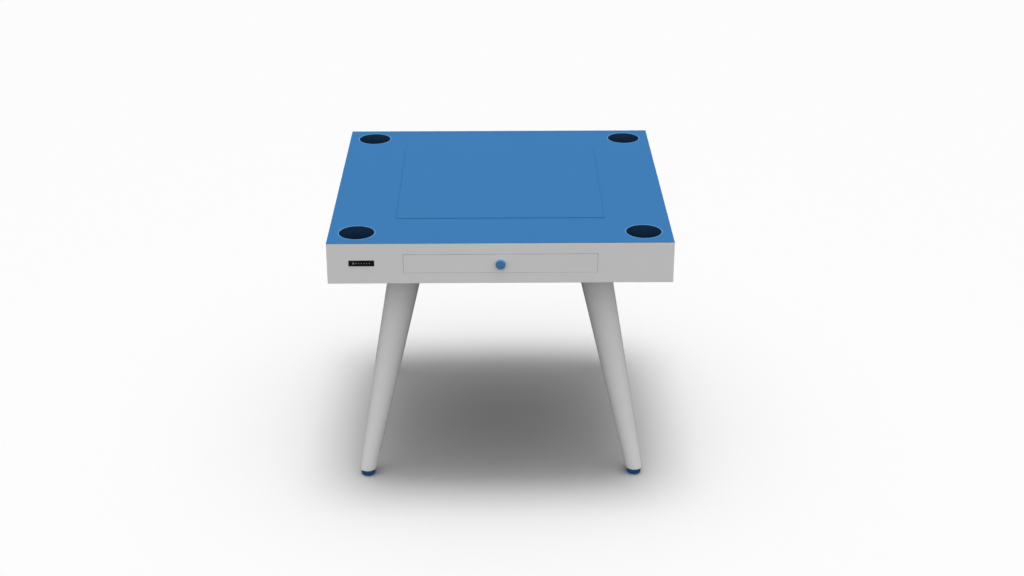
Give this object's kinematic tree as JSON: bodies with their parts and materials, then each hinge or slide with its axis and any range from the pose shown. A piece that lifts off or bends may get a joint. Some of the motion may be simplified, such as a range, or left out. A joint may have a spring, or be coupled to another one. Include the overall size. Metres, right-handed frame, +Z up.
{
  "type": "convertible dice game table",
  "caption": "Square four-legged dice game table: white case on splayed legs, lift-out lid over a felt well, corner cup holders and a front drawer.",
  "frame": {"origin": "on the floor, at the middle of the whole table's footprint, the drawer knob included; the case's own middle is 6 mm behind it", "axes": "+Z up; -Y is the front with the drawer; +X is to the right as seen from the front"},
  "size_m": [0.9144, 0.9264, 0.7642],
  "materials": {
    "white_lacquer": "white satin lacquer sprayed on fibreboard and turned beech",
    "well_lacquer": "white satin lacquer",
    "birch_plywood": "clear matt varnish on birch plywood",
    "blue_laminate": "matt blue laminate with a fine texture",
    "green_felt": "dense green wool felt",
    "black_rubber": "matt moulded rubber",
    "navy_plastic": "navy moulded plastic, finely grained",
    "black_plate": "black anodised aluminium",
    "bright_metal": "bright etched aluminium",
    "zinc_steel": "bright zinc plating",
    "black_steel": "black powder coat on steel plate",
    "brass": "plain turned brass",
    "blue_lacquer": "moulded blue plastic with a satin gloss"
  },
  "bodies": {
    "table": {"apron_front": "white_lacquer", "apron_back": "white_lacquer", "apron_left": "white_lacquer", "apron_right": "white_lacquer", "deck_front": "birch_plywood", "deck_back": "birch_plywood", "deck_left": "birch_plywood", "deck_right": "birch_plywood", "top_surface": "blue_laminate", "bottom_panel": "white_lacquer", "corner_blocks": "birch_plywood", "divider_left": "birch_plywood", "divider_right": "birch_plywood", "well_floor": "birch_plywood", "well_walls": "well_lacquer", "well_felt": "green_felt", "well_cushions": "black_rubber", "cup_front_left": "navy_plastic", "cup_front_right": "navy_plastic", "cup_back_left": "navy_plastic", "cup_back_right": "navy_plastic", "nameplate": "black_plate", "nameplate_marks": "bright_metal", "slide_outer_left": "zinc_steel", "slide_outer_right": "zinc_steel", "slide_case_screws": "zinc_steel", "leg_front_left": "white_lacquer", "leg_front_right": "white_lacquer", "leg_back_left": "white_lacquer", "leg_back_right": "white_lacquer", "leg_plates": "black_steel", "plate_screws": "zinc_steel", "leg_bolts": "zinc_steel", "leg_inserts": "brass", "foot_inserts": "brass"},
    "lid": {"lid_board": "birch_plywood", "lid_surface": "blue_laminate"},
    "drawer": {"drawer_front": "white_lacquer", "drawer_box_front": "birch_plywood", "drawer_side_left": "birch_plywood", "drawer_side_right": "birch_plywood", "drawer_back": "birch_plywood", "drawer_bottom": "birch_plywood", "drawer_liner": "green_felt", "drawer_knob": "blue_lacquer", "knob_screw": "zinc_steel", "drawer_screws": "zinc_steel", "slide_inner_left": "zinc_steel", "slide_inner_right": "zinc_steel", "slide_drawer_screws": "zinc_steel"},
    "slide_left": {"slide_middle_left": "zinc_steel"},
    "slide_right": {"slide_middle_right": "zinc_steel"},
    "foot_front_left": {"foot_pad_front_left": "blue_lacquer", "foot_stem_front_left": "zinc_steel"},
    "foot_front_right": {"foot_pad_front_right": "blue_lacquer", "foot_stem_front_right": "zinc_steel"},
    "foot_back_left": {"foot_pad_back_left": "blue_lacquer", "foot_stem_back_left": "zinc_steel"},
    "foot_back_right": {"foot_pad_back_right": "blue_lacquer", "foot_stem_back_right": "zinc_steel"}
  },
  "joints": [
    {"name": "drawer_slide", "type": "slide", "parent": "table", "child": "drawer", "axis": [0, -1, 0], "range_m": [0, 0.35]},
    {"name": "slide_left_travel", "type": "slide", "parent": "table", "child": "slide_left", "axis": [0, -1, 0], "range_m": [0, 0.175]},
    {"name": "slide_right_travel", "type": "slide", "parent": "table", "child": "slide_right", "axis": [0, -1, 0], "range_m": [0, 0.175]},
    {"name": "lid_lift", "type": "slide", "parent": "table", "child": "lid", "axis": [0, 0, 1], "range_m": [0, 0.15]},
    {"name": "foot_front_left_turn", "type": "hinge", "parent": "table", "child": "foot_front_left", "pos_m": [-0.3806, -0.3299, 0.009], "axis": [0, 0, 1], "continuous": true},
    {"name": "foot_front_right_turn", "type": "hinge", "parent": "table", "child": "foot_front_right", "pos_m": [0.3806, -0.3299, 0.009], "axis": [0, 0, 1], "continuous": true},
    {"name": "foot_back_left_turn", "type": "hinge", "parent": "table", "child": "foot_back_left", "pos_m": [-0.3806, 0.3419, 0.009], "axis": [0, 0, 1], "continuous": true},
    {"name": "foot_back_right_turn", "type": "hinge", "parent": "table", "child": "foot_back_right", "pos_m": [0.3806, 0.3419, 0.009], "axis": [0, 0, 1], "continuous": true}
  ],
  "couplings": [
    {"joint": "slide_left_travel", "follows": "drawer_slide", "ratio": 0.5},
    {"joint": "slide_right_travel", "follows": "drawer_slide", "ratio": 0.5}
  ]
}
